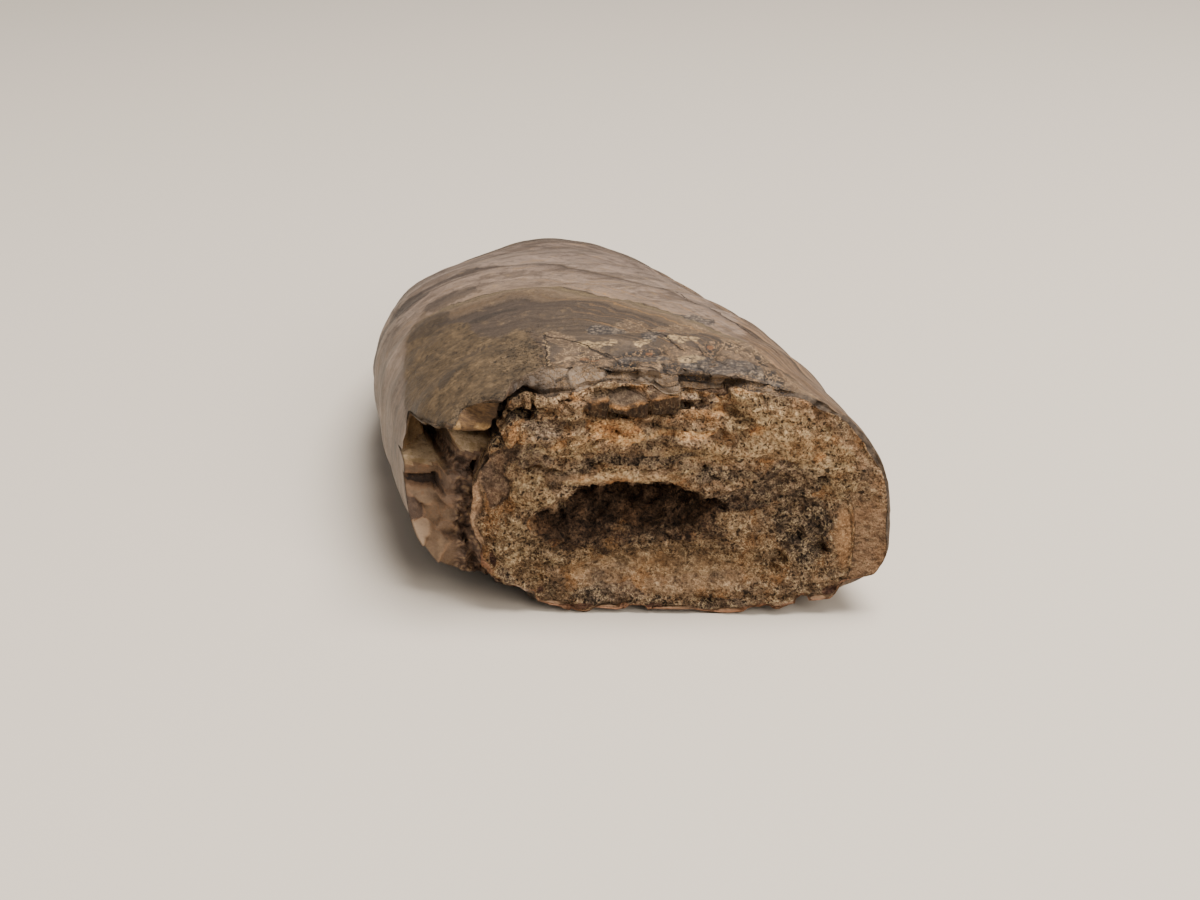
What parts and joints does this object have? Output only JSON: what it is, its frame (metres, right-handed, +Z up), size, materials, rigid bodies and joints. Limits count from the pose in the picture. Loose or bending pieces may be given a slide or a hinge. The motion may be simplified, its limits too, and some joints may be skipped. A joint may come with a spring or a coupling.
{
  "type": "fossil tyrannosaur tooth",
  "caption": "Fossil theropod tooth lying on its side: oval root broken across with a pulp hollow and a spalled edge, and a crown that tapers and curves to a blunt tip.",
  "frame": {"origin": "under the middle of the tooth, on the surface it rests on", "axes": "+Y along the tooth from the broken root to the tip, +Z up through its thickness, +X towards the side that the tip curves to"},
  "size_m": [0.0317, 0.0776, 0.0181],
  "materials": {
    "tooth": "mineralised dentine and enamel, satin outside and matt and pitted on the break"
  },
  "bodies": {
    "root": {"tooth": "tooth"}
  },
  "joints": []
}
